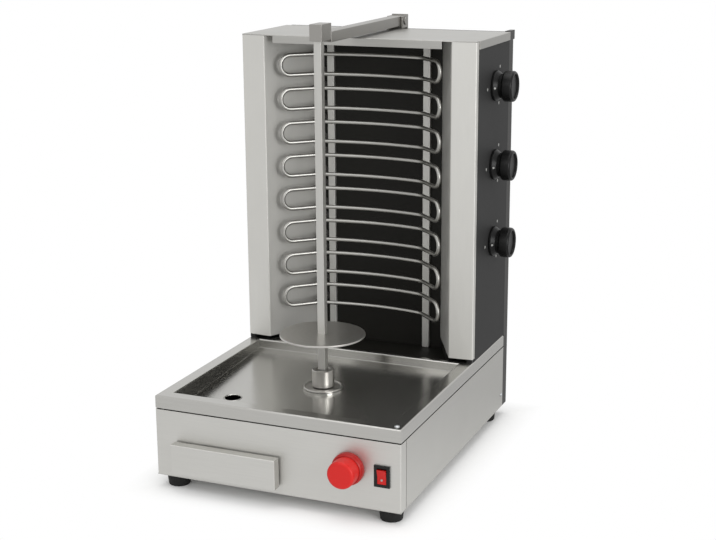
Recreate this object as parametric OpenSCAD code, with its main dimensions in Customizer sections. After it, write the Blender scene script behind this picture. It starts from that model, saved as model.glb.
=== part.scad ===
// Vertical kebab grill: a square spit, turned from below, stands in front of a bank of
// electric heating elements, over a drip tray with a grease drawer.
// Lengths are in millimetres. X runs to the right, Y to the back and Z up.
// The pieces are drawn with the tray's front face at Y = 0 and the casing centred on X = 0,
// and placed() then moves the whole grill so that its box is centred on the origin.

/* [Base] */
// Width of the base and of the cabinet
base_w = 400; // [380:1:440]
// Depth of the base without the rear cover
base_d = 488; // [475:1:530]
// Height of the base casing, from its floor to the tray
casing_h = 108; // [104:1:140]
// Thickness of the sheet metal
sheet = 1.5; // [1:0.1:2]
// Length of the front panel's returns along the sides
front_return = 20; // [12:1:40]
// Depth of the rear cover
cover_depth = 22; // [16:1:30]

/* [Feet] */
// Height of a rubber foot
foot_h = 20; // [16:1:40]
// Diameter of a rubber foot at the casing
foot_d = 38; // [32:1:44]
// Distance of a foot's centre from the sides, the front and the back
foot_inset = 24; // [23:1:40]
// Diameter of a foot screw
foot_screw_d = 5; // [4:0.5:6]

/* [Drip tray] */
// Height of the tray's skirt
rim_h = 20; // [16:1:26]
// Width of the rim beside and before the basin
rim_w = 22; // [16:1:30]
// Depth of the basin at the front
basin_front_depth = 28; // [24:1:32]
// Depth of the basin at the back
basin_rear_depth = 15; // [12:1:20]
// Diameter of the drain hole
drain_d = 28; // [16:1:36]
// Distance of the drain hole to the left of the spit
drain_x = 117; // [90:1:130]
// Distance of the drain hole from the front
drain_y = 95; // [70:1:115]

/* [Spit] */
// Distance of the spit's axis from the front
spit_y = 178; // [172:1:200]
// Side of the square spit
spit_bar = 12; // [10:0.5:14]
// Diameter of the round spigot on top of the spit
spigot_d = 10; // [8:0.5:10]
// Length of the spigot
spigot_len = 12; // [8:1:14]
// Diameter of the meat plate
disc_d = 134; // [100:1:150]
// Thickness of the meat plate
disc_t = 3; // [2:0.5:5]
// Height of the meat plate above the coupling
disc_rise = 55; // [40:1:90]

/* [Drive] */
// Diameter of the hub flange on the tray
hub_d = 62; // [54:1:66]
// Thickness of the hub flange
hub_t = 3; // [2:0.5:5]
// Diameter of the drive shaft
drive_d = 16; // [14:0.5:18]
// Diameter of the coupling that holds the spit
coupling_d = 35; // [32:1:40]
// Height of the coupling
coupling_h = 27; // [25:1:34]
// Width of the gearbox
gearbox_w = 64; // [56:1:70]
// Height of the gearbox
gearbox_h = 50; // [44:1:52]
// Diameter of the motor
motor_d = 48; // [40:1:50]
// Length of the motor
motor_len = 88; // [60:1:100]

/* [Cabinet] */
// Height of the cabinet above the rim
cabinet_h = 514; // [500:1:560]
// Width of the front flanges
flange_w = 40; // [34:1:46]
// Distance of the flanges' inner edges from the front
flange_y = 316; // [314:1:330]
// Gap between the reflectors and the tray's rim
reflector_lift = 6; // [4:1:8]
// Setback of the flanges' outer edges
flange_set = 3; // [0:0.5:8]
// Length of the flanges' returns along the sides
flange_return = 10; // [6:1:16]
// Distance of the inner back panel from the front
back_y = 418; // [416:1:424]
// Half the width of the inner back panel between the reflectors
back_half_w = 110; // [104:1:116]
// Depth of the cabinet floor below the rim
pit_depth = 13; // [11:1:16]
// Height of the top panel's front and side lips
top_lip = 13; // [9:1:16]
// Half the length of the top panel's front lip
front_lip_half = 144; // [130:1:150]

/* [Heating elements] */
// Number of heating elements
element_count = 8; // [6:1:8]
// Distance between neighbouring elements
element_pitch = 55.6; // [52:0.1:57]
// Distance between the two rods of an element
rod_spacing = 32.4; // [28:0.2:36]
// Diameter of a heating rod
rod_d = 6.5; // [6:0.1:8]
// Distance of the top rod below the top panel
element_drop = 34; // [28:1:40]
// Distance of the rods before the inner back panel
rod_gap = 43; // [36:1:48]
// Half the length of a rod's bowed middle
rod_mid_half = 82; // [78:1:86]
// Depth by which a rod's middle bows back round the meat
rod_bow = 9; // [7:0.5:10]
// Plan radius of a rod's bend
rod_bend_r = 36; // [24:1:40]
// Angle of a rod's bend
rod_bend_a = 44; // [42:1:46]
// Length of a rod between its bend and its end loop
rod_end = 36; // [30:1:38]
// Distance of the terminal legs to the left of the middle
leg_x = 100; // [98:0.5:102]
// Width of an element rail
rail_w = 12; // [8:0.5:14]
// Depth of an element rail
rail_depth = 6; // [5:0.5:8]
// Distance of the rails from the middle
rail_x = 85; // [84:1:95]

/* [Controls] */
// Diameter of a heat control knob
knob_d = 49; // [40:1:54]
// Reach of a knob beyond the side panel
knob_reach = 34; // [30:1:42]
// Height of the top knob's axis below the top panel
knob_drop = 78; // [50:1:90]
// Distance between the knobs' axes
knob_pitch = 127; // [100:1:140]
// Distance of the knobs' axes from the back of the base
knob_back = 75; // [68:1:90]
// Diameter of a knob spindle
spindle_d = 6; // [5:0.5:7]
// Distance of the red button from the front panel's right end
estop_in = 81; // [78:1:100]
// Height of the red button's axis above the casing's floor
estop_z = 59; // [45:1:70]
// Diameter of the red button's collar
estop_collar_d = 49; // [44:1:52]
// Diameter of the red button's cap
estop_cap_d = 42; // [36:1:44]
// Reach of the red button beyond the front panel
estop_reach = 34; // [33:1:38]
// Travel of the red button
estop_travel = 5; // [3:0.5:5]
// Distance of the rocker switch from the front panel's right end
rocker_in = 29; // [25:1:35]
// Height of the rocker switch above the casing's floor
rocker_z = 54; // [40:1:70]
// Width of the rocker's frame
rocker_w = 24; // [22:0.5:26]
// Height of the rocker's frame
rocker_h = 33; // [31:0.5:36]
// Half of the rocker's swing, in degrees
rocker_tilt = 8; // [5:1:9]

/* [Drawer] */
// Width of the drawer's front
drawer_w = 174; // [140:1:176]
// Distance of the drawer's left edge from the casing's left side
drawer_inset = 34; // [32:1:40]
// Height of the drawer's front
drawer_h = 46; // [40:1:52]
// Height of the drawer's front above the casing's floor
drawer_rise = 13; // [11:1:18]
// Depth of the finger pull
pull_depth = 18; // [14:1:22]

/* [Arm] */
// Width of the arm and its block
arm_w = 20; // [18:1:24]
// Height of the arm's bar
arm_h = 16; // [14:1:18]
// Height of the block at the arm's end
block_h = 25; // [22:1:30]
// Length of the block at the arm's end
block_len = 36; // [30:1:40]
// Distance of the arm's pin in front of the rear cover's back face
pin_back = 10; // [10:0.5:14]
// Diameter of the arm's pin
pin_d = 8; // [6:0.5:9]

/* [Hidden] */
$fn = 48;
// Overshoot of a cut past the face that it opens, and overlap of shapes that make one piece
cut = 1;
lap = 0.6;
// Radial clearance of a turning fit
run = 0.05;
// Clearance of a fixed round or square fit
fit = 0.02;
// Gap between a moving piece and what it passes
gap = 0.5;
// Radial room of the spigot in the arm's bush
lift_room = 1;

// Heights of the base
floor_z = foot_h;
floor_top = floor_z + sheet;
base_top = floor_z + casing_h;
rim_top = base_top + rim_h;
rim_under = rim_top - sheet;
half_w = base_w / 2;
inner_half_w = half_w - sheet;

// Basin of the drip tray
basin_front = rim_w;
basin_rear = flange_y - 4;
basin_half_w = half_w - rim_w;
basin_slope = (basin_front_depth - basin_rear_depth) / (basin_rear - basin_front);
function basin_z(y) = rim_top - basin_front_depth + (y - basin_front) * basin_slope;

// Hub, coupling and spit
hub_seat_d = hub_d + 2;
hub_seat_z = basin_z(spit_y + hub_seat_d / 2);
hub_seat_foot = basin_z(spit_y - hub_seat_d / 2) - sheet;
hub_neck_d = drive_d + 10;
hub_nut_h = 5;
hub_nut_d = hub_neck_d + 14;
hub_neck_len = hub_seat_z - hub_seat_foot + hub_nut_h;
hub_top = hub_seat_z + hub_t;
coupling_z = hub_top + gap;
coupling_top = coupling_z + coupling_h;
drive_grip = 9;
socket_depth = coupling_h - drive_grip - 2;
socket_lip_d = spit_bar + 9;
socket_lip_depth = 4;
spit_foot = coupling_top - socket_depth;
disc_z = coupling_top + disc_rise;

// Gearbox, motor and their bracket
gearbox_top = hub_seat_foot - 12;
gearbox_foot = gearbox_top - gearbox_h;
gearbox_boss_d = drive_d + 14;
gearbox_boss_h = 4;
drive_foot = gearbox_top - 20;
motor_z = (gearbox_top + gearbox_foot) / 2;
motor_tail = 6;
bracket_t = 2;
bracket_half_w = gearbox_w / 2 + 12;
bracket_tab = 14;

// Cabinet
top_z = rim_top + cabinet_h;
top_under = top_z - sheet;
flange_x = half_w - flange_w;
flange_out_y = flange_y + flange_set;
panel_front = flange_out_y + flange_return;
wall_dx = flange_x - back_half_w;
wall_dy = back_y - flange_y;
wall_run = sheet * norm([wall_dx, wall_dy]) / wall_dy;
function wall_x(y) = flange_x - (y - flange_y) * wall_dx / wall_dy;
pit_z = rim_top - pit_depth;
window_front = flange_y + 4;
window_rear = back_y + sheet + 4;
window_front_half = wall_x(window_front) + wall_run + gap;
window_rear_half = back_half_w + wall_run + gap;
cover_y = base_d + cover_depth;
lug_w = 8;
lug_h = 14;
lug_rise = 1;
lug_reach = 8;
vent_w = 70;
vent_h = 5;
vent_pitch = 14;
vent_rows = 9;

// Heating elements
rod_y = back_y - rod_gap;
rod_top_z = top_z - element_drop;
leg_d = rod_d - 0.5;
leg_tail = 26;
bead_d = leg_d + 4;
bead_head_d = bead_d + 4;
bead_head = 3;
bead_len = 9;
bow_r = (rod_mid_half * rod_mid_half + rod_bow * rod_bow) / (2 * rod_bow);
bow_a = asin(rod_mid_half / bow_r);
bow_lap = lap / bow_r * 180 / PI;
bend_mid = [rod_mid_half - rod_bend_r * sin(bow_a), -rod_bend_r * cos(bow_a)];
bend_end = bend_mid + rod_bend_r * [sin(rod_bend_a), cos(rod_bend_a)];
leg_y = rod_y + bend_end.y - (leg_x - bend_end.x) * tan(rod_bend_a);
loop_start = bend_end + rod_end * [cos(rod_bend_a), -sin(rod_bend_a)];
bend_d = rod_d - 0.2;
rail_wall = 1.2;

// Controls
knob_y = base_d - knob_back;
knob_z = [for (i = [0:2]) top_z - knob_drop - i * knob_pitch];
knob_gap = 1;
knob_skirt = 9;
knob_neck = 6;
knob_round = 3;
knob_bore_depth = knob_reach - knob_gap - 8;
regulator_w = 44;
regulator_depth = 36;
regulator_bore = 16;
spindle_hole_d = spindle_d + 5;
estop_x = half_w - estop_in;
estop_axis_z = floor_z + estop_z;
estop_collar_len = 11;
estop_recess_d = estop_cap_d + 2 * gap;
estop_recess = 8;
estop_back = estop_collar_len - estop_recess + estop_travel + gap;
estop_cap_round = 4;
estop_cap_grip = 7;
estop_tube_d = 22;
estop_hole_d = estop_tube_d + 0.5;
estop_stem_d = 14;
estop_tube_len = 14;
estop_stem_tail = 24;
contact_w = 40;
contact_len = 34;
rocker_x = half_w - rocker_in;
rocker_axis_z = floor_z + rocker_z;
rocker_body_w = rocker_w - 2.5;
rocker_body_h = rocker_h - 3.5;
rocker_cut_w = rocker_body_w + 0.5;
rocker_cut_h = rocker_body_h + 0.5;
rocker_lip = 2.5;
rocker_body_len = 24;
rocker_side = 3.5;
rocker_end = 2.5;
rocker_pocket_w = rocker_body_w - 2 * rocker_side;
rocker_pocket_h = rocker_body_h - 2 * rocker_end;
rocker_pocket_depth = 10;
rocker_button_w = rocker_pocket_w - 2 * gap;
rocker_button_half = rocker_pocket_h / 2 - 1;
rocker_pin_d = 3;
rocker_crown = 4;
rocker_hollow = 2.4;
rocker_back = 3;

// Drawer
drawer_x = drawer_inset - half_w;
drawer_z = floor_z + drawer_rise;
drawer_lap = 6;
drawer_play = 1.5;
drawer_skin = 1.2;
drawer_box_x = drawer_x + drawer_lap + drawer_play;
drawer_box_w = drawer_w - 2 * (drawer_lap + drawer_play);
drawer_box_z = drawer_z + drawer_lap;
drawer_box_h = drawer_h - 2 * drawer_lap - drawer_play;
drawer_face_gap = 0.3;
drawer_rear = spit_y - gearbox_w / 2 - 8;
runner_w = 10;
runner_guide = 14;

// Arm
pin_y = cover_y - pin_back;
arm_lift_gap = 4;
arm_z = top_z + arm_lift_gap;
pin_z = arm_z + arm_h / 2;
block_z = arm_z + 4;
block_front = spit_y - block_len / 3;
block_rear = block_front + block_len;
bush_bore_d = spigot_d + 2 * lift_room;
bush_d = bush_bore_d + 4;
bush_len = spigot_len + 2;
shaft_top = block_z - 0.3;
clevis_t = 3.5;
clevis_plate = 4;
clevis_front = 12;
clevis_foot = 60;
pin_head = 2;

// Cable gland and fasteners
gland_x = -half_w + 70;
gland_z = floor_z + 45;
gland_thread_d = 20;
gland_bore_d = 9;
gland_nose = 14;
gland_nose_d = 26;
gland_tail = 10;
screw_d = 3.5;
screw_head_d = 7.5;
screw_head = 2;
screw_len = 6;
screw_inset = 22;
side_screw_y = 8;
rear_flange = 18;
pad_w = 9;
pad_t = 9;

// Box of the whole grill, which centres it on the origin
right_reach = half_w + knob_reach;
left_reach = half_w + screw_head;
rear_reach = cover_y + gland_nose;
frame_x = (right_reach - left_reach) / 2;
frame_y = (rear_reach - estop_reach) / 2;

// Colours
steel = [0.77, 0.76, 0.74];
bright_steel = [0.85, 0.85, 0.84];
dark_panel = [0.27, 0.27, 0.27];
black = [0.09, 0.09, 0.08];
rubber = [0.06, 0.06, 0.06];
red = [0.82, 0.16, 0.13];
brass = [0.78, 0.62, 0.3];
ceramic = [0.92, 0.9, 0.84];
motor_grey = [0.45, 0.47, 0.5];

// Helpers
module placed() {
    translate([-frame_x, -frame_y, 0]) children();
}

module along_y() {
    rotate([-90, 0, 0]) children();
}

module along_x() {
    rotate([0, 90, 0]) children();
}

// Extrudes an outline drawn in Y and Z along X, centred on X = 0
module across_x(width) {
    translate([-width / 2, 0, 0]) rotate([90, 0, 90]) linear_extrude(height = width) children();
}

// Point beside a bend of a folded sheet, on the right of the way p, q, r
function right_of(p, q) = [q.y - p.y, p.x - q.x] / norm(q - p);
function fold(p, q, r, t) =
    let (m = right_of(p, q), n = right_of(q, r))
    q + t * (m + n) / (1 + m * n);

// Base casing
module base_side_left() {
    color(steel) placed() mirror([1, 0, 0]) base_side();
}

module base_side_right() {
    color(steel) placed() base_side();
}

module base_front_panel() {
    color(steel) placed() difference() {
        union() {
            translate([-half_w, 0, floor_top]) cube([base_w, sheet, casing_h - sheet]);
            for (side = [-half_w, inner_half_w])
                translate([side, 0, floor_top]) cube([sheet, front_return, casing_h - sheet]);
        }
        translate([drawer_x + drawer_lap, -cut, drawer_z + drawer_lap - drawer_play])
            cube([drawer_w - 2 * drawer_lap, sheet + 2 * cut, drawer_box_h + 2 * drawer_play]);
        translate([estop_x, -cut, estop_axis_z]) along_y() cylinder(d = estop_hole_d, h = sheet + 2 * cut);
        translate([rocker_x - rocker_cut_w / 2, -cut, rocker_axis_z - rocker_cut_h / 2])
            cube([rocker_cut_w, sheet + 2 * cut, rocker_cut_h]);
    }
}

// Side sheet with a rear flange for the cover's screws
module base_side() {
    difference() {
        union() {
            translate([inner_half_w, front_return, floor_top])
                cube([sheet, base_d - front_return, casing_h - sheet]);
            translate([half_w - rear_flange, base_d - sheet, floor_top])
                cube([rear_flange, sheet, casing_h - sheet]);
        }
        translate([inner_half_w - cut, base_d - side_screw_y, floor_z + screw_inset])
            along_x() cylinder(d = screw_d + 2 * gap, h = sheet + 2 * cut);
        at_cover_screws() cover_screw_hole();
    }
}

module base_floor() {
    color(steel) placed() difference() {
        translate([-half_w, 0, floor_z]) cube([base_w, base_d, sheet]);
        at_feet() translate([0, 0, -cut]) cylinder(d = foot_screw_d + 2 * gap, h = sheet + 2 * cut);
    }
}

// Shallow black pan that closes the back of the base and of the cabinet
module rear_cover() {
    color(black) placed() difference() {
        union() {
            translate([-half_w, base_d, floor_z]) cube([base_w, cover_depth, top_under - floor_z]);
            translate([half_w - lug_w, base_d, top_z - lug_h])
                cube([lug_w, cover_depth + lug_reach, lug_h + lug_rise]);
        }
        translate([-inner_half_w, base_d - cut, floor_top])
            cube([2 * inner_half_w, cover_depth - sheet + cut, top_under - floor_z - 2 * sheet]);
        translate([gland_x, base_d, gland_z])
            along_y() cylinder(d = gland_thread_d + gap, h = cover_depth + cut);
        for (side = [-1, 1])
            for (row = [0:vent_rows - 1])
                translate([side * half_w / 2 - vent_w / 2, base_d, top_z - 60 - row * vent_pitch])
                    cube([vent_w, cover_depth + cut, vent_h]);
        at_cover_screws() cover_screw_hole();
    }
}

module at_cover_screws() {
    base_rows = [floor_z + screw_inset, base_top - screw_inset];
    cabinet_rows = [rim_top + 2 * screw_inset, top_z - screw_inset];
    for (side = [-1, 1])
        for (z = concat(base_rows, cabinet_rows))
            translate([side * (half_w - rear_flange / 2 - sheet), cover_y, z]) children();
}

module cover_screw_hole() {
    translate([0, -cover_depth - 2 * sheet, 0])
        along_y() cylinder(d = screw_d + 2 * gap, h = cover_depth + 2 * sheet + cut);
}

// Screws of the rear cover and, lower down, of the base's sides
module casing_screws() {
    color(bright_steel) placed() {
        at_cover_screws() {
            along_y() cylinder(d = screw_head_d, h = screw_head);
            translate([0, -cover_depth - screw_len, 0])
                along_y() cylinder(d = screw_d, h = cover_depth + screw_len + lap);
        }
        for (side = [0, 1]) mirror([side, 0, 0])
            translate([half_w, base_d - side_screw_y, floor_z + screw_inset]) {
                along_x() cylinder(d = screw_head_d, h = screw_head);
                translate([-screw_len, 0, 0]) along_x() cylinder(d = screw_d, h = screw_len + lap);
            }
    }
}

// Top of the base: a skirt, a rim, a sloping basin and the opening under the cabinet
module drip_tray() {
    color(steel) placed() difference() {
        union() {
            difference() {
                union() {
                    difference() {
                        translate([-half_w, 0, base_top]) cube([base_w, base_d, rim_h]);
                        translate([-inner_half_w, sheet, base_top - cut])
                            cube([2 * inner_half_w, base_d - 2 * sheet, rim_h - sheet + cut]);
                    }
                    across_x(2 * (basin_half_w + sheet)) polygon([
                        [basin_front - sheet, rim_top],
                        [basin_front - sheet, basin_z(basin_front) - sheet],
                        [basin_rear + sheet, basin_z(basin_rear) - sheet],
                        [basin_rear + sheet, rim_top]]);
                }
                across_x(2 * basin_half_w) polygon([
                    [basin_front, rim_top + cut],
                    [basin_front, basin_z(basin_front)],
                    [basin_rear, basin_z(basin_rear)],
                    [basin_rear, rim_top + cut]]);
            }
            translate([0, spit_y, hub_seat_foot]) cylinder(d = hub_seat_d, h = hub_seat_z - hub_seat_foot);
        }
        translate([0, 0, rim_under - cut]) linear_extrude(height = sheet + 2 * cut) window(0);
        translate([-drain_x, drain_y, base_top - casing_h / 2]) cylinder(d = drain_d, h = casing_h);
        translate([0, spit_y, hub_seat_foot - cut])
            cylinder(d = hub_neck_d + 2 * gap, h = hub_seat_z - hub_seat_foot + 2 * cut);
    }
}

// Plan of the opening in the tray that the reflectors pass, grown by a margin
module window(margin) {
    front = window_front_half + margin;
    rear = window_rear_half + margin;
    polygon([
        [-front, window_front - margin], [front, window_front - margin], [rear, back_y],
        [rear, window_rear + margin], [-rear, window_rear + margin], [-rear, back_y]]);
}

// Black pan under the opening, on which the reflectors and the back panel stand
module cabinet_floor() {
    color(black) placed() difference() {
        translate([0, 0, pit_z - sheet]) linear_extrude(height = rim_under - pit_z + sheet) window(sheet);
        translate([0, 0, pit_z]) linear_extrude(height = pit_depth) window(0);
    }
}

// Feet
module at_feet() {
    for (x = [-half_w + foot_inset, half_w - foot_inset])
        for (y = [foot_inset, base_d - foot_inset])
            translate([x, y, floor_z]) children();
}

module rubber_feet() {
    color(rubber) placed() at_feet() mirror([0, 0, 1]) difference() {
        cylinder(d1 = foot_d, d2 = foot_d - 5, h = foot_h);
        translate([0, 0, -cut]) cylinder(d = foot_screw_d + gap, h = foot_h + 2 * cut);
        translate([0, 0, foot_h / 3]) cylinder(d = 3 * foot_screw_d, h = foot_h);
    }
}

module foot_screws() {
    color(bright_steel) placed() at_feet() {
        translate([0, 0, -foot_h / 3 - lap]) cylinder(d = foot_screw_d, h = foot_h / 3 + sheet + 5 + lap);
        translate([0, 0, -foot_h / 3 - foot_screw_d / 2])
            cylinder(d = 2 * foot_screw_d, h = foot_screw_d / 2);
        translate([0, 0, sheet]) cylinder(d = 2 * foot_screw_d, h = 3.5, $fn = 6);
    }
}

// Grease drawer
module drawer_runners() {
    run_len = drawer_rear - 2 * sheet;
    lift = drawer_box_z - floor_top - drawer_face_gap;
    color(steel) placed()
        for (side = [0, 1])
            translate([drawer_box_x + side * drawer_box_w, 2 * sheet, floor_top]) mirror([side, 0, 0]) {
                translate([-gap - sheet, 0, 0]) cube([runner_w + gap + sheet, run_len, lift]);
                translate([-gap - sheet, 0, 0]) cube([sheet, run_len, lift + runner_guide]);
            }
}

module drawer_box() {
    box_len = drawer_rear - drawer_play;
    color(steel) placed() translate([drawer_box_x, -drawer_face_gap, drawer_box_z]) difference() {
        cube([drawer_box_w, box_len, drawer_box_h]);
        translate([drawer_skin, drawer_skin, drawer_skin])
            cube([drawer_box_w - 2 * drawer_skin, box_len - 2 * drawer_skin, drawer_box_h]);
    }
}

// Folded front of the drawer, open underneath as a finger pull
module drawer_front() {
    color(steel) placed() translate([drawer_x, -drawer_face_gap - pull_depth, drawer_z]) difference() {
        cube([drawer_w, pull_depth, drawer_h]);
        translate([sheet, sheet, -sheet])
            cube([drawer_w - 2 * sheet, pull_depth - 2 * sheet, drawer_h]);
    }
}

// Drive under the tray
module gearbox() {
    color(motor_grey) placed() translate([0, spit_y, 0]) difference() {
        union() {
            translate([-gearbox_w / 2, -gearbox_w / 2, gearbox_foot])
                cube([gearbox_w, gearbox_w, gearbox_h]);
            translate([0, 0, gearbox_top - lap]) cylinder(d = gearbox_boss_d, h = gearbox_boss_h + lap);
        }
        translate([0, 0, drive_foot - gap])
            cylinder(d = drive_d + 2 * run, h = gearbox_top - drive_foot + gearbox_boss_h + cut + gap);
    }
}

module gear_motor() {
    color(motor_grey) placed() translate([0, spit_y + gearbox_w / 2, motor_z]) {
        along_y() cylinder(d = motor_d, h = motor_len);
        translate([0, motor_len - lap, 0]) along_y() cylinder(d = motor_d / 2, h = motor_tail + lap);
    }
}

// Folded steel stand of the gearbox
module motor_bracket() {
    stand_h = gearbox_foot - floor_top;
    color(steel) placed() translate([0, spit_y - gearbox_w / 2, floor_top]) {
        translate([-bracket_half_w, 0, stand_h - bracket_t])
            cube([2 * bracket_half_w, gearbox_w, bracket_t]);
        for (side = [0, 1]) mirror([side, 0, 0]) {
            translate([bracket_half_w - bracket_t, 0, 0]) cube([bracket_t, gearbox_w, stand_h]);
            translate([bracket_half_w - bracket_t, 0, 0])
                cube([bracket_tab + bracket_t, gearbox_w, bracket_t]);
        }
    }
}

module drive_shaft() {
    color(bright_steel) placed() translate([0, spit_y, drive_foot])
        cylinder(d = drive_d, h = coupling_z + drive_grip - drive_foot);
}

// Bearing of the drive shaft on the flat seat in the basin, held by a nut from below
module hub_flange() {
    color(bright_steel) placed() translate([0, spit_y, 0]) difference() {
        union() {
            translate([0, 0, hub_seat_z]) cylinder(d = hub_d, h = hub_t);
            translate([0, 0, hub_seat_z - hub_neck_len]) cylinder(d = hub_neck_d, h = hub_neck_len + lap);
        }
        translate([0, 0, hub_seat_z - hub_neck_len - cut])
            cylinder(d = drive_d + 2 * run, h = hub_neck_len + hub_t + 2 * cut);
    }
}

module hub_nut() {
    color(bright_steel) placed() translate([0, spit_y, hub_seat_foot - hub_nut_h]) difference() {
        cylinder(d = hub_nut_d, h = hub_nut_h, $fn = 6);
        translate([0, 0, -cut]) cylinder(d = hub_neck_d + 2 * fit, h = hub_nut_h + 2 * cut);
    }
}

// Coupling with a square socket for the spit
module drive_coupling() {
    color(bright_steel) placed() translate([0, spit_y, coupling_z]) difference() {
        cylinder(d = coupling_d, h = coupling_h);
        translate([0, 0, -cut]) cylinder(d = drive_d + 2 * fit, h = drive_grip + cut);
        translate([-spit_bar / 2 - fit, -spit_bar / 2 - fit, coupling_h - socket_depth])
            cube([spit_bar + 2 * fit, spit_bar + 2 * fit, socket_depth + cut]);
        translate([0, 0, coupling_h - socket_lip_depth])
            cylinder(d = socket_lip_d, h = socket_lip_depth + cut);
    }
}

// Spit
module spit_shaft() {
    color(bright_steel) placed() translate([0, spit_y, 0]) {
        translate([-spit_bar / 2, -spit_bar / 2, spit_foot])
            cube([spit_bar, spit_bar, shaft_top - spit_foot]);
        translate([0, 0, shaft_top - lap]) cylinder(d = spigot_d, h = spigot_len + lap);
    }
}

module meat_disc() {
    color(steel) placed() translate([0, spit_y, disc_z]) difference() {
        cylinder(d = disc_d, h = disc_t);
        translate([-spit_bar / 2 - fit, -spit_bar / 2 - fit, -cut])
            cube([spit_bar + 2 * fit, spit_bar + 2 * fit, disc_t + 2 * cut]);
    }
}

// Arm over the cabinet that steadies the top of the spit
module arm_block() {
    color(bright_steel) placed() difference() {
        translate([-arm_w / 2, block_front, block_z]) cube([arm_w, block_len, block_h]);
        translate([0, spit_y, block_z - cut]) cylinder(d = bush_d + 2 * fit, h = bush_len + cut);
    }
}

module arm_bush() {
    color(brass) placed() translate([0, spit_y, block_z]) difference() {
        cylinder(d = bush_d, h = bush_len);
        translate([0, 0, -cut]) cylinder(d = bush_bore_d, h = bush_len + 2 * cut);
    }
}

module arm_bar() {
    color(bright_steel) placed() difference() {
        union() {
            translate([-arm_w / 2, block_rear, arm_z]) cube([arm_w, pin_y - block_rear, arm_h]);
            translate([-arm_w / 2, pin_y, pin_z]) along_x() cylinder(d = arm_h, h = arm_w);
        }
        translate([-arm_w / 2 - cut, pin_y, pin_z])
            along_x() cylinder(d = pin_d + 2 * run, h = arm_w + 2 * cut);
    }
}

module arm_clevis() {
    cheek = arm_w / 2 + gap;
    color(bright_steel) placed() difference() {
        union() {
            translate([-cheek - clevis_t, cover_y, top_under - clevis_foot])
                cube([2 * (cheek + clevis_t), clevis_plate, arm_z + arm_h + 2 - top_under + clevis_foot]);
            for (side = [-cheek - clevis_t, cheek])
                translate([side, pin_y - clevis_front, top_z + gap])
                    cube([clevis_t, cover_y - pin_y + clevis_front + lap, arm_z + arm_h - top_z - gap]);
        }
        translate([-cheek - clevis_t - cut, pin_y, pin_z])
            along_x() cylinder(d = pin_d + 2 * fit, h = 2 * (cheek + clevis_t + cut));
    }
}

module arm_pin() {
    reach = arm_w / 2 + gap + clevis_t;
    color(steel) placed() translate([-reach, pin_y, pin_z]) along_x() {
        translate([0, 0, -lap]) cylinder(d = pin_d, h = 2 * (reach + lap));
        translate([0, 0, -pin_head]) cylinder(d = pin_d + 5, h = pin_head);
        translate([0, 0, 2 * reach]) cylinder(d = pin_d + 5, h = pin_head);
    }
}

// Cabinet
module side_panel_left() {
    color(dark_panel) placed() mirror([1, 0, 0]) side_panel_sheet();
}

module side_panel_right() {
    color(dark_panel) placed() difference() {
        side_panel_sheet();
        for (z = knob_z)
            translate([inner_half_w - cut, knob_y, z])
                along_x() cylinder(d = spindle_hole_d, h = sheet + 2 * cut);
    }
}

// Side panel with a rear flange for the cover's screws
module side_panel_sheet() {
    difference() {
        union() {
            translate([inner_half_w, panel_front, rim_top])
                cube([sheet, base_d - panel_front, top_under - rim_top]);
            translate([half_w - rear_flange, base_d - sheet, rim_top])
                cube([rear_flange, sheet, top_under - rim_top]);
        }
        at_cover_screws() cover_screw_hole();
    }
}

// Folded reflector with the front flange and its return along the side
module reflector() {
    path = [[half_w, panel_front], [half_w, flange_out_y], [flange_x, flange_y], [back_half_w, back_y]];
    inside = [
        [inner_half_w, panel_front],
        fold(path[0], path[1], path[2], sheet),
        fold(path[1], path[2], path[3], sheet),
        [back_half_w + wall_run, back_y]];
    foot_z = rim_top + reflector_lift;
    translate([0, 0, foot_z]) linear_extrude(height = top_under - foot_z)
        polygon(concat(path, [for (i = [3:-1:0]) inside[i]]));
}

module reflector_left() {
    color(steel) placed() mirror([1, 0, 0]) reflector();
}

module reflector_right() {
    color(steel) placed() reflector();
}

module inner_back_panel() {
    color(black) placed() difference() {
        translate([-back_half_w - wall_run, back_y, pit_z])
            cube([2 * (back_half_w + wall_run), sheet, top_under - pit_z]);
        at_legs() translate([0, back_y - cut, 0]) along_y() cylinder(d = bead_d + gap, h = sheet + 2 * cut);
    }
}

module top_panel() {
    reach = half_w + sheet;
    color(steel) placed() {
        translate([0, 0, top_under]) linear_extrude(height = sheet) polygon([
            [-half_w, flange_out_y], [-flange_x, flange_y], [flange_x, flange_y], [half_w, flange_out_y],
            [half_w, panel_front], [reach, panel_front], [reach, base_d],
            [-reach, base_d], [-reach, panel_front], [-half_w, panel_front]]);
        for (side = [-reach, half_w])
            translate([side, panel_front, top_z - top_lip])
                cube([sheet, base_d - panel_front, top_lip - sheet / 2]);
        translate([-front_lip_half, flange_y, top_z - top_lip])
            cube([2 * front_lip_half, sheet, top_lip - sheet / 2]);
    }
}

module element_rail() {
    color(steel) translate([-rail_w / 2, back_y - rail_depth, pit_z]) difference() {
        cube([rail_w, rail_depth, top_under - pit_z]);
        translate([rail_wall, rail_wall, -cut])
            cube([rail_w - 2 * rail_wall, rail_depth, top_under - pit_z + 2 * cut]);
    }
}

module element_rail_left() {
    placed() translate([-rail_x, 0, 0]) element_rail();
}

module element_rail_right() {
    placed() translate([rail_x, 0, 0]) element_rail();
}

// Heating elements: two rods, bent forward at both ends and joined by half loops
function element_z(i) = rod_top_z - (i - 1) * element_pitch;

module rod_half() {
    translate([bend_mid.x, bend_mid.y, 0]) rotate([0, 0, 90 - rod_bend_a])
        rotate_extrude(angle = rod_bend_a - bow_a) translate([rod_bend_r, 0]) circle(d = bend_d);
    translate([bend_end.x, bend_end.y, 0]) rotate([0, 0, -rod_bend_a])
        translate([-lap, 0, 0]) along_x() cylinder(d = rod_d, h = rod_end + 2 * lap);
}

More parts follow.
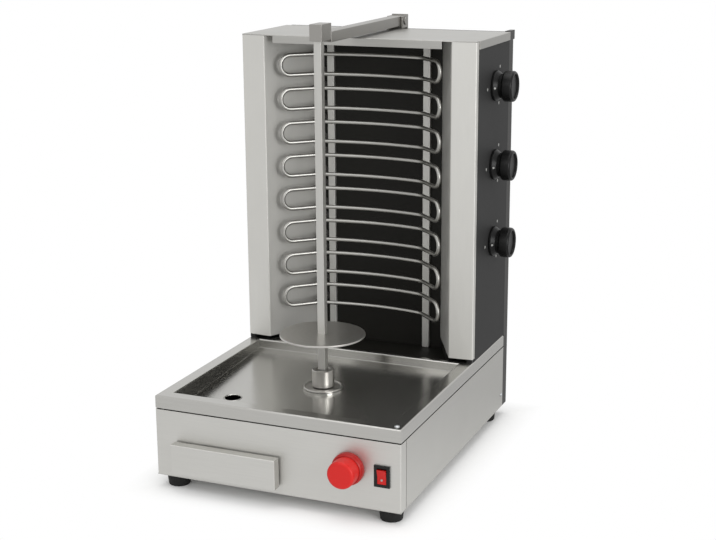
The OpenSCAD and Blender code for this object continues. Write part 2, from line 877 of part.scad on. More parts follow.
module heating_element(i) {
    color(steel) placed() translate([0, rod_y, element_z(i)]) {
        for (z = [0, -rod_spacing])
            translate([0, 0, z]) {
                translate([0, rod_bow - bow_r, 0]) rotate([0, 0, 90 - bow_a - bow_lap])
                    rotate_extrude(angle = 2 * (bow_a + bow_lap)) translate([bow_r, 0]) circle(d = rod_d);
                translate([-leg_x, leg_y - rod_y, 0])
                    along_y() cylinder(d = leg_d, h = back_y - leg_y + leg_tail);
                rod_half();
                mirror([1, 0, 0]) rod_half();
            }
        for (side = [0, 1]) mirror([side, 0, 0])
            translate([loop_start.x, loop_start.y, -rod_spacing / 2]) rotate([0, 0, -rod_bend_a])
                rotate([90, 0, 0]) rotate([0, 0, -90])
                    rotate_extrude(angle = 180) translate([rod_spacing / 2, 0]) circle(d = bend_d);
    }
}

module at_legs() {
    for (i = [1:element_count])
        for (z = [0, -rod_spacing])
            translate([-leg_x, 0, element_z(i) + z]) children();
}

// Ceramic beads that carry the elements' legs through the back panel
module element_beads() {
    color(ceramic) placed() at_legs() translate([0, back_y, 0]) along_y() difference() {
        union() {
            translate([0, 0, -bead_head]) cylinder(d = bead_head_d, h = bead_head);
            cylinder(d = bead_d, h = bead_len);
        }
        translate([0, 0, -bead_head - cut])
            cylinder(d = leg_d + 2 * fit, h = bead_head + bead_len + 2 * cut);
    }
}

// Heat controls on the right side
module knob(i) {
    body = knob_reach - knob_gap;
    color(black) placed() translate([half_w + knob_gap, knob_y, knob_z[i - 1]]) along_x() difference() {
        union() {
            cylinder(d = knob_d, h = knob_skirt);
            cylinder(d = knob_d - 8, h = body - knob_round);
            translate([0, 0, knob_skirt + knob_neck])
                cylinder(d = knob_d, h = body - knob_skirt - knob_neck - knob_round);
            translate([0, 0, body - knob_round - lap])
                cylinder(d = knob_d - 2 * knob_round, h = knob_round + lap);
        }
        translate([0, 0, -cut]) cylinder(d = spindle_d + 2 * fit, h = knob_bore_depth + cut);
    }
}

module knob_spindle(i) {
    color(bright_steel) placed() translate([inner_half_w - regulator_bore, knob_y, knob_z[i - 1]])
        along_x() cylinder(d = spindle_d, h = regulator_bore + sheet + knob_gap + knob_bore_depth - gap);
}

module energy_regulators() {
    color(black) placed()
        for (z = knob_z)
            translate([inner_half_w - regulator_depth, knob_y, z]) difference() {
                translate([0, -regulator_w / 2, -regulator_w / 2])
                    cube([regulator_depth, regulator_w, regulator_w]);
                translate([regulator_depth - regulator_bore - gap, 0, 0])
                    along_x() cylinder(d = spindle_d + 2 * run, h = regulator_bore + gap + cut);
            }
}

// Red push button
module estop_axis() {
    placed() translate([estop_x, 0, estop_axis_z]) along_y() children();
}

module estop_collar() {
    color(red) estop_axis() difference() {
        union() {
            translate([0, 0, -estop_collar_len]) cylinder(d = estop_collar_d, h = estop_collar_len);
            translate([0, 0, -lap]) cylinder(d = estop_tube_d, h = estop_tube_len + lap);
        }
        translate([0, 0, -estop_collar_len - cut]) cylinder(d = estop_recess_d, h = estop_recess + cut);
        translate([0, 0, -estop_collar_len])
            cylinder(d = estop_stem_d + 2 * run, h = estop_collar_len + estop_tube_len + cut);
    }
}

module estop_cap() {
    color(red) estop_axis() mirror([0, 0, 1]) difference() {
        union() {
            translate([0, 0, estop_back])
                cylinder(d = estop_cap_d, h = estop_reach - estop_back - estop_cap_round);
            translate([0, 0, estop_reach - estop_cap_round - lap])
                cylinder(
                    d1 = estop_cap_d - 1, d2 = estop_cap_d - 2 * estop_cap_round, h = estop_cap_round + lap);
        }
        translate([0, 0, estop_back - cut])
            cylinder(d = estop_stem_d + 2 * run, h = estop_cap_grip + cut);
    }
}

module estop_stem() {
    nose = estop_back + estop_cap_grip - gap;
    color(black) estop_axis() translate([0, 0, -nose])
        cylinder(d = estop_stem_d, h = nose + estop_stem_tail);
}

// Contact block behind the button, with room for the stem's travel
module estop_contact_block() {
    stem_room = estop_stem_tail + estop_travel - estop_tube_len;
    color(black) estop_axis() difference() {
        translate([-contact_w / 2, -contact_w / 2, estop_tube_len])
            cube([contact_w, contact_w, contact_len]);
        translate([0, 0, estop_tube_len - cut])
            cylinder(d = estop_stem_d + 2 * gap, h = stem_room + cut + gap);
    }
}

// Rocker switch
module rocker_frame() {
    color(black) placed() translate([rocker_x, 0, rocker_axis_z]) difference() {
        union() {
            translate([-rocker_w / 2, -rocker_lip, -rocker_h / 2]) cube([rocker_w, rocker_lip, rocker_h]);
            translate([-rocker_body_w / 2, 0, -rocker_body_h / 2])
                cube([rocker_body_w, rocker_body_len, rocker_body_h]);
        }
        translate([-rocker_pocket_w / 2, -rocker_lip - cut, -rocker_pocket_h / 2])
            cube([rocker_pocket_w, rocker_lip + rocker_pocket_depth + cut, rocker_pocket_h]);
        translate([-rocker_body_w / 2 + gap, 0, 0])
            along_x() cylinder(d = rocker_pin_d + 2 * run, h = rocker_body_w - 2 * gap);
    }
}

module rocker_button() {
    color(red) placed() translate([rocker_x, 0, rocker_axis_z]) rotate([rocker_tilt, 0, 0]) {
        across_x(rocker_button_w) polygon([
            [-rocker_crown, rocker_button_half], [-rocker_hollow, 0], [-rocker_crown, -rocker_button_half],
            [rocker_back, 2 - rocker_button_half], [rocker_back, rocker_button_half - 2]]);
        translate([-rocker_body_w / 2 + 2 * gap, 0, 0])
            along_x() cylinder(d = rocker_pin_d, h = rocker_body_w - 4 * gap);
    }
}

// Mains connection inside the base
module terminal_block() {
    color(ceramic) placed() translate([gland_x - 25, base_d - 90, floor_top]) difference() {
        cube([50, 24, 18]);
        for (x = [8:11:41])
            translate([x + 1, 12, 8]) cylinder(d = 5, h = 18);
    }
}

module cable_gland() {
    color(black) placed() translate([gland_x, cover_y, gland_z]) along_y() difference() {
        union() {
            cylinder(d = gland_nose_d, h = gland_nose / 2);
            translate([0, 0, gland_nose / 2 - lap])
                cylinder(d1 = gland_nose_d - 1, d2 = gland_bore_d + 8, h = gland_nose / 2 + lap);
            translate([0, 0, -sheet - lap]) cylinder(d = gland_thread_d, h = sheet + 2 * lap);
            translate([0, 0, -sheet - gland_tail]) cylinder(d = gland_nose_d, h = gland_tail, $fn = 6);
        }
        translate([0, 0, -sheet - gland_tail - cut])
            cylinder(d = gland_bore_d, h = gland_nose + sheet + gland_tail + 2 * cut);
    }
}

// Small pads between the outer feet of the front flanges and the tray's rim
module flange_pads() {
    color(black) placed()
        for (side = [0, 1]) mirror([side, 0, 0])
            translate([half_w - pad_w - 1, flange_out_y, rim_top]) cube([pad_w, pad_t, reflector_lift]);
}

base_front_panel();
base_side_left();
base_side_right();
base_floor();
rear_cover();
drip_tray();
rubber_feet();
foot_screws();
drawer_runners();
drawer_box();
drawer_front();
gear_motor();
gearbox();
motor_bracket();
drive_shaft();
hub_flange();
hub_nut();
drive_coupling();
spit_shaft();
meat_disc();
arm_block();
arm_bush();
arm_bar();
arm_clevis();
arm_pin();
side_panel_left();
side_panel_right();
reflector_left();
reflector_right();
inner_back_panel();
top_panel();
cabinet_floor();
element_rail_left();
element_rail_right();
element_beads();
for (i = [1:element_count])
    heating_element(i);
for (i = [1:3]) {
    knob(i);
    knob_spindle(i);
}
energy_regulators();
estop_cap();
estop_stem();
estop_collar();
estop_contact_block();
rocker_frame();
rocker_button();
terminal_block();
cable_gland();
flange_pads();
casing_screws();
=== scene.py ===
import math

import bpy
from mathutils import Matrix, Vector


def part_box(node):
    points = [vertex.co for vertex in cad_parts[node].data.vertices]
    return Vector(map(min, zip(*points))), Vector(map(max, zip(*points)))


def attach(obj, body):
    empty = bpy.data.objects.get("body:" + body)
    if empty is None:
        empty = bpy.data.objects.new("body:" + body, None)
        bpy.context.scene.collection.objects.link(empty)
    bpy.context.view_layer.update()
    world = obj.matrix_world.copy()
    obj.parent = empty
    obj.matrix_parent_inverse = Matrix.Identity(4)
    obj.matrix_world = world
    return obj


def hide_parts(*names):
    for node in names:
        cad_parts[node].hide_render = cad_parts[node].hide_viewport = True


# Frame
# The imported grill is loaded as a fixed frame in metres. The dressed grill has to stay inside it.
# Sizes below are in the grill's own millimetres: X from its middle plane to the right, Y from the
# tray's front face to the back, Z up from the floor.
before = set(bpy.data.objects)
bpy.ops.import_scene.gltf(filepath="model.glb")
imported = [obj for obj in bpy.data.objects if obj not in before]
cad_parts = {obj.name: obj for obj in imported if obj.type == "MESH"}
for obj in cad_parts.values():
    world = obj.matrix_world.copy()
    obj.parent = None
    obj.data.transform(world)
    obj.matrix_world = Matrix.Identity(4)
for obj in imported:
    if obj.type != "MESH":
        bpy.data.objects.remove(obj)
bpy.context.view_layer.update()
scene = bpy.context.scene
tray_low, tray_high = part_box("drip_tray")
own_zero = Vector(((tray_low.x + tray_high.x) / 2, tray_low.y, 0))


def at(x, y, z):
    return own_zero + Vector((x, y, z)) / 1000


def own_mm(point):
    return (point - own_zero) * 1000


# Camera
# The photograph was taken with a long lens from the right of the front, a little above the
# top of the spit. The place and the lens were fitted to the straight edges of the casing.
photo_width_px, focal_px, sensor_mm = 716, 1433, 36
yaw, pitch, roll = math.radians(22.81), math.radians(14.73), math.radians(-0.37)
eye = bpy.data.objects.new("photo_camera", bpy.data.cameras.new("photo_camera"))
scene.collection.objects.link(eye)
eye.data.sensor_width = sensor_mm
eye.data.lens = sensor_mm * focal_px / photo_width_px
eye_turn = (
    Matrix.Rotation(yaw, 4, "Z")
    @ Matrix.Rotation(math.pi / 2 - pitch, 4, "X")
    @ Matrix.Rotation(roll, 4, "Z")
)
eye.matrix_world = Matrix.Translation(at(880.3, -1771, 881)) @ eye_turn
eye.data.clip_end = 100
scene.camera = eye

# Studio floor and light
# White seamless paper under large soft lamps. The paper and the sky show as white to the
# camera and in reflections, and the paper still takes the soft shadow under the casing.
scene.view_settings.view_transform = "Standard"


def linear(code):
    parts = [int(code[i : i + 2], 16) / 255 for i in (0, 2, 4)]
    return [p / 12.92 if p <= 0.04045 else ((p + 0.055) / 1.055) ** 2.4 for p in parts] + [1]


def add_node(tree, kind, inputs=None, **settings):
    node = tree.nodes.new(kind)
    for name, value in settings.items():
        setattr(node, name, value)
    for name, value in (inputs or {}).items():
        if isinstance(value, bpy.types.NodeSocket):
            tree.links.new(value, node.inputs[name])
        else:
            node.inputs[name].default_value = value
    return node


def reckon(tree, operation, *values, kind="ShaderNodeMath", **settings):
    return add_node(tree, kind, dict(enumerate(values)), operation=operation, **settings).outputs


def map_range(tree, value, start, end, low, high):
    limits = {"From Min": start, "From Max": end, "To Min": low, "To Max": high}
    return add_node(tree, "ShaderNodeMapRange", {"Value": value, **limits}).outputs[0]


def seen_rays(tree, path):
    seen = reckon(tree, "ADD", path.outputs["Is Camera Ray"], path.outputs["Is Glossy Ray"])[0]
    return reckon(tree, "ADD", seen, path.outputs["Is Transmission Ray"], use_clamp=True)[0]


def clear_selection():
    if bpy.context.mode != "OBJECT":
        bpy.ops.object.mode_set(mode="OBJECT")
    bpy.ops.object.select_all(action="DESELECT")


clear_selection()
bpy.ops.mesh.primitive_plane_add(size=60, location=(0, 0, -0.0004))
floor = bpy.context.object
floor.name = "studio_floor"
bpy.ops.object.transform_apply(location=True)
paper = bpy.data.materials.new("white_seamless_paper")
paper.use_nodes = True
tree = paper.node_tree
tree.nodes.clear()
path = add_node(tree, "ShaderNodeLightPath")
ground = add_node(tree, "ShaderNodeTexCoord").outputs["Object"]
# Past the shadow, about 55 mm outside the casing, the paper goes over to plain white.
vector = "ShaderNodeVectorMath"
footprint_middle, footprint_half = at(0, 255, 0), (0.2, 0.255, 0)
shadow_start, shadow_end, shadow_glow = -0.012, 0.055, 0.03
away = reckon(tree, "SUBTRACT", ground, footprint_middle, kind=vector)[0]
away = reckon(tree, "ABSOLUTE", away, kind=vector)[0]
away = reckon(tree, "SUBTRACT", away, footprint_half, kind=vector)[0]
away = add_node(tree, "ShaderNodeSeparateXYZ", {0: away}).outputs
away = reckon(tree, "MAXIMUM", away[0], away[1])[0]
fade = map_range(tree, away, shadow_start, shadow_end, shadow_glow, 1)
glow = reckon(tree, "MULTIPLY", seen_rays(tree, path), fade)[0]
matte = add_node(tree, "ShaderNodeBsdfDiffuse", {"Color": linear("f4f4f3")})
# Reflections see the paper a little darker at the back right, where no lamp points.
dim_way, dim_start, dim_end, dim_most = (0.3, 0.95, 0), -0.1, 0.4, 0.3
behind = reckon(tree, "DOT_PRODUCT", ground, dim_way, kind=vector)["Value"]
dim = map_range(tree, behind, dim_start, dim_end, 0, dim_most)
dim = reckon(tree, "MULTIPLY", dim, path.outputs["Is Glossy Ray"])[0]
strength = reckon(tree, "SUBTRACT", 1, dim)[0]
white = add_node(tree, "ShaderNodeEmission", {"Color": linear("ffffff"), "Strength": strength})
both = add_node(tree, "ShaderNodeMixShader", {0: glow, 1: matte.outputs[0], 2: white.outputs[0]})
add_node(tree, "ShaderNodeOutputMaterial", {"Surface": both.outputs[0]})
floor.data.materials.append(paper)

sky = bpy.data.worlds.new("studio_sky")
scene.world = sky
sky.use_nodes = True
tree = sky.node_tree
tree.nodes.clear()
seen = seen_rays(tree, add_node(tree, "ShaderNodeLightPath"))
level = map_range(tree, seen, 0, 1, 0.72, 1)
air = add_node(tree, "ShaderNodeBackground", {"Color": linear("ffffff"), "Strength": level})
add_node(tree, "ShaderNodeOutputWorld", {"Surface": air.outputs[0]})

for name, place, aim, width, power in (
    ("key_softbox", (2.45, -1.5, 0.9), (0, 0, 0.4), 1.4, 40),
    ("front_softbox", (-0.5, -2.7, 2.2), (0, 0, 0.3), 1.8, 14),
    ("top_softbox", (0.1, 0.1, 3.0), (0, 0, 0), 2.2, 28),
):
    lamp = bpy.data.objects.new(name, bpy.data.lights.new(name, "AREA"))
    scene.collection.objects.link(lamp)
    lamp.data.shape = "SQUARE"
    lamp.data.size = width
    lamp.data.energy = power
    lamp.location = place
    lamp.rotation_euler = (Vector(aim) - Vector(place)).to_track_quat("-Z", "Y").to_euler()

# Rubber feet
# Four moulded black rubber feet with a slight taper carry the casing. Each is held by a
# zinc-plated screw, whose head sits in the hollow of the foot.


def activate(piece):
    clear_selection()
    piece.select_set(True)
    bpy.context.view_layer.objects.active = piece


def turned(name, profile, sides):
    clear_selection()
    radius, height = profile[0]
    bpy.ops.mesh.primitive_circle_add(
        vertices=sides, radius=radius / 1000, fill_type="NGON", location=(0, 0, height / 1000)
    )
    piece = bpy.context.object
    piece.name = name
    bpy.ops.object.transform_apply(location=True)
    bpy.ops.object.mode_set(mode="EDIT")
    bpy.ops.mesh.select_all(action="SELECT")
    for next_radius, next_height in profile[1:]:
        rise = (next_height - height) / 1000
        grow = next_radius / radius
        bpy.ops.mesh.extrude_region_move(TRANSFORM_OT_translate={"value": (0, 0, rise)})
        bpy.ops.transform.resize(value=(grow, grow, 1), center_override=(0, 0, next_height / 1000))
        radius, height = next_radius, next_height
    bpy.ops.mesh.select_all(action="SELECT")
    bpy.ops.mesh.normals_make_consistent(inside=False)
    bpy.ops.object.mode_set(mode="OBJECT")
    return piece


def soften(piece, radius, steps=2):
    activate(piece)
    bpy.ops.object.mode_set(mode="EDIT")
    bpy.ops.mesh.select_mode(type="EDGE")
    bpy.ops.mesh.select_all(action="DESELECT")
    bpy.ops.mesh.edges_select_sharp(sharpness=math.radians(28))
    bpy.ops.mesh.bevel(offset=radius / 1000, segments=steps, affect="EDGES", clamp_overlap=True)
    bpy.ops.object.mode_set(mode="OBJECT")


def place_copies(piece, places, turn=(0, 0, 0)):
    copies = []
    for place in places:
        activate(piece)
        bpy.ops.object.duplicate()
        copy = bpy.context.object
        copy.rotation_euler = turn
        copy.location = place
        bpy.ops.object.transform_apply(location=True, rotation=True, scale=True)
        copies.append(copy)
    bpy.data.objects.remove(piece)
    clear_selection()
    for copy in copies:
        copy.select_set(True)
    bpy.context.view_layer.objects.active = copies[0]
    if len(copies) > 1:
        bpy.ops.object.join()
    return bpy.context.object


def dress(piece, name, material, body, slot, *nodes):
    activate(piece)
    bpy.ops.object.transform_apply(location=True, rotation=True, scale=True)
    bpy.ops.object.shade_smooth_by_angle(angle=math.radians(32))
    bpy.ops.object.modifier_add(type="WEIGHTED_NORMAL")
    piece.modifiers[-1].weight = 100
    piece.modifiers[-1].keep_sharp = True
    bpy.ops.object.modifier_apply(modifier=piece.modifiers[-1].name)
    piece.name = name
    piece.data.name = name
    piece.data.materials.clear()
    piece.data.materials.append(material)
    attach(piece, body)
    if nodes:
        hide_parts(*nodes)


def paint_node(node, material):
    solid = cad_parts[node]
    solid.data.materials.clear()
    solid.data.materials.append(material)


def surface(name, values):
    material = bpy.data.materials.new(name)
    material.use_nodes = True
    for socket, value in values.items():
        material.node_tree.nodes["Principled BSDF"].inputs[socket].default_value = value
    return material


def feed(material, socket, output):
    tree = material.node_tree
    tree.links.new(output, tree.nodes["Principled BSDF"].inputs[socket])


def noise(material, size, detail):
    tree = material.node_tree
    place = add_node(tree, "ShaderNodeTexCoord").outputs["Object"]
    grain = {"Vector": place, "Scale": 1 / size, "Detail": detail}
    return add_node(tree, "ShaderNodeTexNoise", grain).outputs["Fac"]


def tint(material, factor, deep, pale):
    # Inputs 6 and 7 of the mix node are its two colours, and output 2 is the mixed one.
    ends = {"Factor": factor, 6: linear(deep), 7: linear(pale)}
    shade = add_node(material.node_tree, "ShaderNodeMix", ends, data_type="RGBA")
    feed(material, "Base Color", shade.outputs[2])
    return shade


def roughen(material, factor, low, high):
    feed(material, "Roughness", map_range(material.node_tree, factor, 0, 1, low, high))


def emboss(material, height, strength, depth):
    relief = {"Height": height, "Strength": strength, "Distance": depth}
    feed(material, "Normal", add_node(material.node_tree, "ShaderNodeBump", relief).outputs[0])


# Natural rubber from a mould: dull, almost black, with a faint bloom that dusts the surface.
rubber = surface("moulded_black_rubber", {"Specular IOR Level": 0.3})
bloom = noise(rubber, 0.006, 4)
tint(rubber, bloom, "0b0b0b", "181817")
roughen(rubber, bloom, 0.62, 0.82)
emboss(rubber, bloom, 0.2, 0.0003)

foot_radius = 19
wall = [(18.6, 20), (foot_radius, 19.4), (18.4, 15), (16.9, 1.6), (16.2, 0.4), (15.4, 0)]
hollow = [(8, 0), (7.5, 0.6), (7.5, 13.3), (3, 13.3)]
foot = turned("foot", wall + hollow, 48)
foot_low, foot_high = (own_mm(p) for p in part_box("rubber_feet"))
foot_x = (foot_low.x + foot_radius, foot_high.x - foot_radius)
foot_y = (foot_low.y + foot_radius, foot_high.y - foot_radius)
feet = place_copies(foot, [at(x, y, 0) for x in foot_x for y in foot_y])
dress(feet, "feet_of_rubber", rubber, "casing", "rubber", "rubber_feet")

# Zinc-plated screws: a bright blue-grey passivated coat, a little cloudy.
zinc = surface("zinc_plated_screw_steel", {"Metallic": 1})
cloud = noise(zinc, 0.002, 3)
tint(zinc, cloud, "a9acae", "c6c8c9")
roughen(zinc, cloud, 0.22, 0.4)
paint_node("foot_screws", zinc)

# Base floor and sides
# Cold-rolled stainless sheet with a ground finish, cut and folded. The side sheets carry rear
# flanges for the cover's screws, and the edges are only deburred.


def node_copy(node, name):
    piece = bpy.data.objects.new(name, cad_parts[node].data.copy())
    scene.collection.objects.link(piece)
    activate(piece)
    piece.data.materials.clear()
    bpy.ops.object.mode_set(mode="EDIT")
    bpy.ops.mesh.select_all(action="SELECT")
    bpy.ops.mesh.remove_doubles(threshold=0.000002)
    bpy.ops.mesh.dissolve_limited(angle_limit=math.radians(0.3))
    bpy.ops.object.mode_set(mode="OBJECT")
    return piece


def lined_noise(material, spacing, length, along, detail, roughness=0.5):
    tree = material.node_tree
    place = add_node(tree, "ShaderNodeTexCoord").outputs["Object"]
    scale = [1 / spacing] * 3
    scale[along] = 1 / length
    lay = add_node(tree, "ShaderNodeMapping", {"Vector": place, "Scale": scale}).outputs[0]
    grain = {"Vector": lay, "Scale": 1, "Detail": detail, "Roughness": roughness}
    return add_node(tree, "ShaderNodeTexNoise", grain).outputs["Fac"]


def ground_stainless(name, along, pale="c6c5c1", deep="b2b1ad", low=0.36, high=0.46, stretch=0.0):
    steel = surface(name, {"Metallic": 1})
    tree = steel.node_tree
    # The grit lines are about 0.2 mm apart and 60 mm long, and are drawn 2.4 mm apart to show.
    grit = lined_noise(steel, 0.0024, 0.06, along, 3, 0.6)
    # Rolling and handling leave soft clouds about 80 mm across.
    cloud = noise(steel, 0.08, 2)
    tint(steel, reckon(tree, "MULTIPLY_ADD", grit, 0.6, 0.2)[0], deep, pale)
    polish = reckon(tree, "MULTIPLY", grit, cloud)[0]
    feed(steel, "Roughness", map_range(tree, polish, 0.12, 0.42, low, high))
    emboss(steel, grit, 0.02, 0.0002)
    if stretch:
        # The lines stretch reflections across themselves, a quarter turn from their run.
        run = [0.05] * 3
        run[along] = 1
        tangent = add_node(tree, "ShaderNodeCombineXYZ", dict(enumerate(run)))
        feed(steel, "Tangent", tangent.outputs[0])
        inputs = tree.nodes["Principled BSDF"].inputs
        inputs["Anisotropic"].default_value = stretch
        inputs["Anisotropic Rotation"].default_value = 0.25
    return steel


def pick(piece, kind, test):
    activate(piece)
    bpy.ops.object.mode_set(mode="EDIT")
    bpy.ops.mesh.select_mode(type=kind)
    bpy.ops.mesh.select_all(action="DESELECT")
    bpy.ops.object.mode_set(mode="OBJECT")
    mesh = piece.data
    if kind == "VERT":
        for vertex in mesh.vertices:
            vertex.select = test(own_mm(vertex.co), vertex.normal)
    elif kind == "EDGE":
        for edge in mesh.edges:
            first, last = (mesh.vertices[i].co for i in edge.vertices)
            edge.select = test(own_mm((first + last) / 2), (last - first).normalized())
    else:
        for face in mesh.polygons:
            face.select = test(own_mm(face.center), face.normal)
    bpy.ops.object.mode_set(mode="EDIT")


def shift(x, y, z):
    bpy.ops.transform.translate(value=Vector((x, y, z)) / 1000)
    bpy.ops.object.mode_set(mode="OBJECT")


# The tray rests on the sheets inside and leaves a shadow gap of about 2 mm under its skirt.
shadow_gap, corner_seam = 2, 1.6
half_width, sheet_front, sheet_top = 200, 20, 128
side_steel = ground_stainless("ground_stainless_side_sheet", 1)
floor_sheet = node_copy("base_floor", "base_floor")
soften(floor_sheet, 0.4)
dress(floor_sheet, "base_floor_sheet", side_steel, "casing", "stainless_steel", "base_floor")
for side in ("left", "right"):
    side_sheet = node_copy(f"base_side_{side}", "base_side")
    pick(side_sheet, "VERT", lambda p, d: p.z > sheet_top - 0.1)
    shift(0, 0, -shadow_gap)
    pick(side_sheet, "VERT", lambda p, d: p.y < sheet_front + 0.1)
    shift(0, corner_seam, 0)
    soften(side_sheet, 0.4)
    dress(side_sheet, f"base_side_sheet_{side}", side_steel, "casing", "stainless_steel", f"base_side_{side}")

# Front panel
# One folded stainless sheet with the openings for the drawer, the red button and the rocker
# switch. Its vertical folds and its top edge have the radius of the folding tool.


def fold_radius(piece, radius, steps, test):
    pick(piece, "EDGE", test)
    bpy.ops.mesh.bevel(offset=radius / 1000, segments=steps, affect="EDGES", clamp_overlap=True)
    bpy.ops.object.mode_set(mode="OBJECT")


# The front sheet and the drawer front are drawn paler than the side sheets: painted light on the front faces.
front_steel = ground_stainless("ground_stainless_front_sheet_painted_light", 0, "cdccc8", "bab9b5", 0.42, 0.52)
front = node_copy("base_front_panel", "base_front")
pick(front, "VERT", lambda p, d: p.z > sheet_top - 0.1)
shift(0, 0, -shadow_gap)


def corner_fold(p, d):
    return p.y < 0.1 and abs(p.x) > half_width - 0.1 and abs(d.z) > 0.9


def top_edge(p, d):
    return p.y < 0.1 and p.z > sheet_top - shadow_gap - 0.2 and abs(d.x) > 0.9


fold_radius(front, 2.2, 5, corner_fold)
fold_radius(front, 0.8, 3, top_edge)
soften(front, 0.3)
dress(front, "base_front_sheet", front_steel, "casing", "stainless_steel", "base_front_panel")

# Drive
# The gearbox stands on a folded bracket on the base floor, with the motor on its back. The
# shaft runs up through the hub, which a nut holds under the tray. All this is hidden.
cast = surface("sand_cast_aluminium", {"Metallic": 1, "Roughness": 0.55})
sand = noise(cast, 0.0015, 4)
tint(cast, sand, "8e9092", "b3b5b6")
emboss(cast, sand, 0.5, 0.0004)
paint_node("gearbox", cast)

motor_paint = surface("grey_stoved_motor_paint", {"Roughness": 0.45})
peel = noise(motor_paint, 0.003, 2)
tint(motor_paint, peel, "6a6f76", "7b8087")
emboss(motor_paint, peel, 0.15, 0.0003)
paint_node("gear_motor", motor_paint)
paint_node("motor_bracket", side_steel)

# Bright-drawn bar: fine drawing lines along the bar and a cool satin shine.
bar_steel = surface("bright_drawn_stainless_bar", {"Metallic": 1})
# The lines are about 0.1 mm apart, drawn 0.9 mm apart to show.
lines = lined_noise(bar_steel, 0.0009, 0.05, 2, 2)
tint(bar_steel, lines, "a7a6a2", "bbbab6")
roughen(bar_steel, lines, 0.2, 0.34)
emboss(bar_steel, lines, 0.05, 0.0002)
paint_node("drive_shaft", bar_steel)
paint_node("hub_nut", bar_steel)

# Grease drawer
# A folded stainless box on two runners. Its front is a second fold that stands off the panel
# and is open underneath, so that fingers can pull it.
paint_node("drawer_runners", side_steel)
drawer_box = node_copy("drawer_box", "drawer_box_sheet")
soften(drawer_box, 0.3)
dress(drawer_box, "drawer_box_sheet", side_steel, "drawer", "stainless_steel", "drawer_box")
drawer_front = node_copy("drawer_front", "drawer_front_sheet")
face_low, face_high = (own_mm(p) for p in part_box("drawer_front"))
# The fold stops 3 mm short of the panel, and a narrower neck runs on to the box.
panel_gap, neck_inset = 3, 4
pick(drawer_front, "VERT", lambda p, d: p.y > -panel_gap)
shift(0, -panel_gap, 0)
pick(drawer_front, "FACE", lambda p, d: d.y > 0.9 and p.y > -panel_gap - 0.5)
bpy.ops.mesh.inset(thickness=neck_inset / 1000)
bpy.ops.mesh.extrude_region_move(TRANSFORM_OT_translate={"value": (0, panel_gap / 1000, 0)})
bpy.ops.object.mode_set(mode="OBJECT")


def drawer_fold(p, d):
    return p.y < face_low.y + 0.1 and (abs(d.z) > 0.9 or p.z > face_high.z - 0.1)


fold_radius(drawer_front, 1.3, 4, drawer_fold)
soften(drawer_front, 0.3)
dress(drawer_front, "drawer_front_sheet", front_steel, "drawer", "stainless_steel", "drawer_front")

# Drip tray
# The deep-folded top of the base: a skirt, a broad rim and a basin that slopes to the drain at
# the front left. The folds are rounded by the tool, and the floor is polished by wiping.


def joined(first, *others):
    activate(first)
    for other in others:
        other.select_set(True)
    bpy.ops.object.join()
    return bpy.context.object


# The tray is drawn darker than the side sheets: painted shade, for the dark cabinet that the basin mirrors.
tray_steel = ground_stainless("ground_stainless_tray_sheet_painted_shade", 0, "bab9b5", "a9a8a4", 0.2, 0.225, 0.7)
tray = node_copy("drip_tray", "drip_tray_sheet")
tray_top = 148


def rim_fold(p, d):
    return p.z > tray_top - 0.1 and (p.y < 0.1 or abs(p.x) > half_width - 0.1)


def skirt_corner(p, d):
    return abs(d.z) > 0.9 and p.y < 0.1 and abs(p.x) > half_width - 1


def basin_rim(p, d):
    basin = p.z > tray_top - 0.1 and 21 < p.y < 313 and abs(p.x) < 178.5
    return basin and (p.y < 22.2 or p.y > 311.5 or abs(p.x) > 177.5)


def basin_foot(p, d):
    basin = 119 < p.z < 134 and 21.5 < p.y < 312.5 and abs(p.x) < 178.2 and abs(d.z) < 0.5
    return basin and (p.y < 22.2 or p.y > 311.8 or abs(p.x) > 177.8)


fold_radius(tray, 2.8, 5, rim_fold)
fold_radius(tray, 1.6, 4, skirt_corner)
fold_radius(tray, 2.4, 4, basin_rim)
fold_radius(tray, 1, 3, basin_foot)
soften(tray, 0.35)
# The edge of the drain is rolled into a low bead, which lies in the basin's slope.
drain, slope = at(-117, 95, 122.4), math.radians(2.6)
bead_ring, bead_wire = 13.6, 1.5
bpy.ops.mesh.primitive_torus_add(
    major_radius=bead_ring / 1000,
    minor_radius=bead_wire / 1000,
    major_segments=64,
    minor_segments=12,
    location=drain,
    rotation=(slope, 0, 0),
)
bead = bpy.context.object
bpy.ops.object.transform_apply(location=True, rotation=True)
tray = joined(tray, bead)
dress(tray, "drip_tray_sheet", tray_steel, "casing", "stainless_steel", "drip_tray")

# Turned hub: a flange with a dished face that seats on the basin and guides the shaft.
spit_y, ring_gap = 178, 0.0016
turned_steel = surface("turned_stainless", {"Metallic": 1, "Base Color": linear("bbb9b5")})
tree = turned_steel.node_tree
ground = add_node(tree, "ShaderNodeTexCoord").outputs["Object"]
# The facing tool leaves rings about 0.3 mm apart, drawn 1.6 mm apart to show.
centred = reckon(tree, "SUBTRACT", ground, at(0, spit_y, 0), kind=vector)[0]
wave = {"Vector": centred, "Scale": 1 / (20 * ring_gap), "Distortion": 0.6, "Detail": 2}
rings = add_node(tree, "ShaderNodeTexWave", wave, wave_type="RINGS", rings_direction="Z")
roughen(turned_steel, rings.outputs["Fac"], 0.3, 0.34)
hub_low, hub_high = (own_mm(p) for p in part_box("hub_flange"))
foot_z, hub_z = hub_low.z, hub_high.z
hub_neck = [(8.1, foot_z), (12.6, foot_z), (13, foot_z + 0.6), (13, hub_z - 3)]
hub_rim = [(30.2, hub_z - 3), (31, hub_z - 2.4), (31, hub_z - 0.7), (30.3, hub_z), (28.2, hub_z)]
hub_dish = [(27.2, hub_z - 0.8), (20, hub_z - 0.9), (8.1, hub_z - 0.9)]
hub = turned("hub", hub_neck + hub_rim + hub_dish, 96)
hub.location = at(0, (hub_low.y + hub_high.y) / 2, 0)
dress(hub, "turned_hub_flange", turned_steel, "casing", "bright_steel", "hub_flange")

